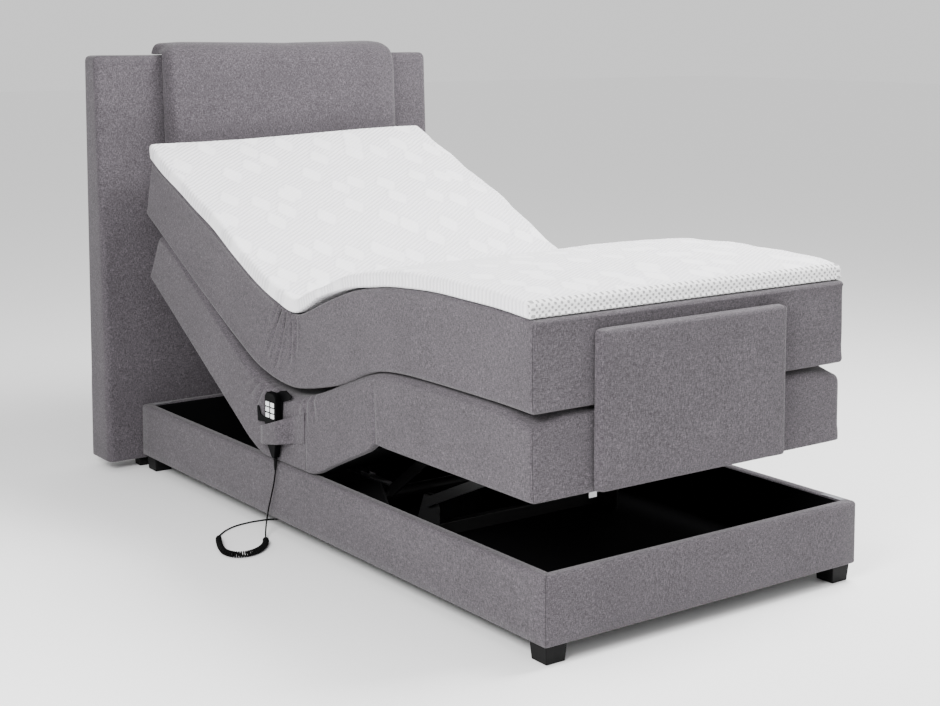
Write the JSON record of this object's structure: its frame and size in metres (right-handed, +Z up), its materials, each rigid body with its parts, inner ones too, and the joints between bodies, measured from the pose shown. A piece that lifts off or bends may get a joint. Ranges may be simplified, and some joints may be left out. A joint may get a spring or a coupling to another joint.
{
  "type": "adjustable box-spring bed",
  "caption": "Upholstered box-spring bed with headboard, raised back and leg sections, mattress, topper, foot panel and a corded handset.",
  "frame": {"origin": "on the floor, under the middle of the bed's outline with its cord left out", "axes": "+Z up; +Y from the foot end to the headboard; -X to the side with the handset"},
  "size_m": [1.34, 2.185, 1.343],
  "materials": {
    "upholstery_grey": "mid-grey melange flat-weave upholstery",
    "topper_white": "white quilted stretch knit with a spacer-mesh border",
    "board_black": "board behind black dust-cover cloth",
    "foot_black": "black satin lacquer",
    "steel_black": "black powder coat",
    "steel_bright": "plain drawn steel",
    "plastic_black": "black moulded plastic",
    "handset_black": "black satin moulded plastic",
    "button_silver": "pale silver keys",
    "rubber_black": "black flexible cable jacket"
  },
  "bodies": {
    "bed_frame": {"back_motor_housing": "plastic_black", "base_panel": "board_black", "cable_gland": "plastic_black", "chassis_bar_front": "steel_black", "chassis_bar_rear": "steel_black", "chassis_plate_left": "steel_black", "chassis_plate_right": "steel_black", "control_box": "plastic_black", "foot_front_left": "foot_black", "foot_front_right": "foot_black", "foot_rail": "upholstery_grey", "foot_rear_left": "foot_black", "foot_rear_right": "foot_black", "handset_cord_coil": "rubber_black", "handset_cord_drop": "rubber_black", "handset_cord_lead": "rubber_black", "handset_cradle": "plastic_black", "handset_pocket": "upholstery_grey", "handset_shell": "handset_black", "handset_strain_relief": "rubber_black", "head_rail": "upholstery_grey", "headboard_body": "upholstery_grey", "headboard_cushion": "upholstery_grey", "headboard_glide_left": "foot_black", "headboard_glide_right": "foot_black", "mattress_mid": "upholstery_grey", "seat_board": "board_black", "seat_core": "upholstery_grey", "side_rail_left": "upholstery_grey", "side_rail_right": "upholstery_grey", "thigh_motor_housing": "plastic_black", "topper_mid": "topper_white"},
    "back_section": {"back_core": "upholstery_grey", "back_board": "board_black", "back_hinge_rod": "steel_bright"},
    "thigh_section": {"thigh_core": "upholstery_grey", "thigh_board": "board_black", "thigh_hinge_rod": "steel_bright"},
    "lower_leg_section": {"leg_core": "upholstery_grey", "leg_board": "board_black", "knee_hinge_rod": "steel_bright", "foot_panel": "upholstery_grey", "mattress_leg": "upholstery_grey", "topper_leg": "topper_white"},
    "back_mattress": {"mattress_back": "upholstery_grey"},
    "back_topper": {"topper_back": "topper_white"},
    "back_lift": {"back_lift_frame": "steel_black", "back_roller": "plastic_black"},
    "thigh_lift": {"thigh_lift_frame": "steel_black", "thigh_roller": "plastic_black"},
    "back_rod": {"back_motor_rod": "steel_bright"},
    "thigh_rod": {"thigh_motor_rod": "steel_bright"},
    "support_left": {"support_link_left": "steel_black"},
    "support_right": {"support_link_right": "steel_black"},
    "button_1": {"handset_button_1": "button_silver"},
    "button_2": {"handset_button_2": "button_silver"},
    "button_3": {"handset_button_3": "button_silver"},
    "button_4": {"handset_button_4": "button_silver"},
    "button_5": {"handset_button_5": "button_silver"},
    "button_6": {"handset_button_6": "button_silver"}
  },
  "joints": [
    {"name": "back_hinge", "type": "hinge", "parent": "bed_frame", "child": "back_section", "pos_m": [-0.012, 0.1755, 0.301], "axis": [1, 0, 0], "range_deg": [-31, 24], "deforming": ["mattress_mid", "topper_mid"]},
    {"name": "thigh_hinge", "type": "hinge", "parent": "bed_frame", "child": "thigh_section", "pos_m": [-0.012, -0.0725, 0.301], "axis": [-1, 0, 0], "range_deg": [-24.1, 10.9], "deforming": ["mattress_mid", "topper_mid"]},
    {"name": "knee_hinge", "type": "hinge", "parent": "thigh_section", "child": "lower_leg_section", "pos_m": [-0.012, -0.39473, 0.44514], "axis": [-1, 0, 0], "range_deg": [-10.9, 24.1]},
    {"name": "back_mattress_slide", "type": "slide", "parent": "back_section", "child": "back_mattress", "axis": [0, 0.8572, 0.515], "range_m": [-0.14501, 0.11226]},
    {"name": "back_topper_slide", "type": "slide", "parent": "back_section", "child": "back_topper", "axis": [0, 0.8719, 0.4897], "range_m": [-0.18729, 0.145]},
    {"name": "back_lift_hinge", "type": "hinge", "parent": "bed_frame", "child": "back_lift", "pos_m": [-0.012, 0.2255, 0.12], "axis": [1, 0, 0], "range_deg": [-27.59, 21.36]},
    {"name": "thigh_lift_hinge", "type": "hinge", "parent": "bed_frame", "child": "thigh_lift", "pos_m": [-0.012, -0.1025, 0.12], "axis": [-1, 0, 0], "range_deg": [-21.45, 9.7]},
    {"name": "back_rod_slide", "type": "slide", "parent": "bed_frame", "child": "back_rod", "axis": [0, 1, 0], "range_m": [-0.02264, 0.01753]},
    {"name": "thigh_rod_slide", "type": "slide", "parent": "bed_frame", "child": "thigh_rod", "axis": [0, -1, 0], "range_m": [-0.0176, 0.00796]},
    {"name": "support_left_hinge", "type": "hinge", "parent": "bed_frame", "child": "support_left", "pos_m": [-0.3255, -0.3725, 0.171], "axis": [-1, 0, 0], "range_deg": [-24.1, 10.9]},
    {"name": "support_right_hinge", "type": "hinge", "parent": "bed_frame", "child": "support_right", "pos_m": [0.3015, -0.3725, 0.171], "axis": [-1, 0, 0], "range_deg": [-24.1, 10.9]},
    {"name": "button_1_press", "type": "slide", "parent": "bed_frame", "child": "button_1", "axis": [1, 0, 0], "range_m": [0, 0.0015], "stiffness_N_per_m": 800, "springref_m": -0.0006},
    {"name": "button_2_press", "type": "slide", "parent": "bed_frame", "child": "button_2", "axis": [1, 0, 0], "range_m": [0, 0.0015], "stiffness_N_per_m": 800, "springref_m": -0.0006},
    {"name": "button_3_press", "type": "slide", "parent": "bed_frame", "child": "button_3", "axis": [1, 0, 0], "range_m": [0, 0.0015], "stiffness_N_per_m": 800, "springref_m": -0.0006},
    {"name": "button_4_press", "type": "slide", "parent": "bed_frame", "child": "button_4", "axis": [1, 0, 0], "range_m": [0, 0.0015], "stiffness_N_per_m": 800, "springref_m": -0.0006},
    {"name": "button_5_press", "type": "slide", "parent": "bed_frame", "child": "button_5", "axis": [1, 0, 0], "range_m": [0, 0.0015], "stiffness_N_per_m": 800, "springref_m": -0.0006},
    {"name": "button_6_press", "type": "slide", "parent": "bed_frame", "child": "button_6", "axis": [1, 0, 0], "range_m": [0, 0.0015], "stiffness_N_per_m": 800, "springref_m": -0.0006}
  ],
  "couplings": [
    {"joint": "knee_hinge", "follows": "thigh_hinge", "ratio": -1},
    {"joint": "back_mattress_slide", "follows": "back_hinge", "m_per_rad": 0.268},
    {"joint": "back_topper_slide", "follows": "back_hinge", "m_per_rad": 0.34615},
    {"joint": "back_lift_hinge", "follows": "back_hinge", "ratio": 0.89},
    {"joint": "thigh_lift_hinge", "follows": "thigh_hinge", "ratio": 0.89},
    {"joint": "back_rod_slide", "follows": "back_hinge", "m_per_rad": 0.04183},
    {"joint": "thigh_rod_slide", "follows": "thigh_hinge", "m_per_rad": 0.04183},
    {"joint": "support_left_hinge", "follows": "thigh_hinge", "ratio": 1},
    {"joint": "support_right_hinge", "follows": "thigh_hinge", "ratio": 1}
  ]
}
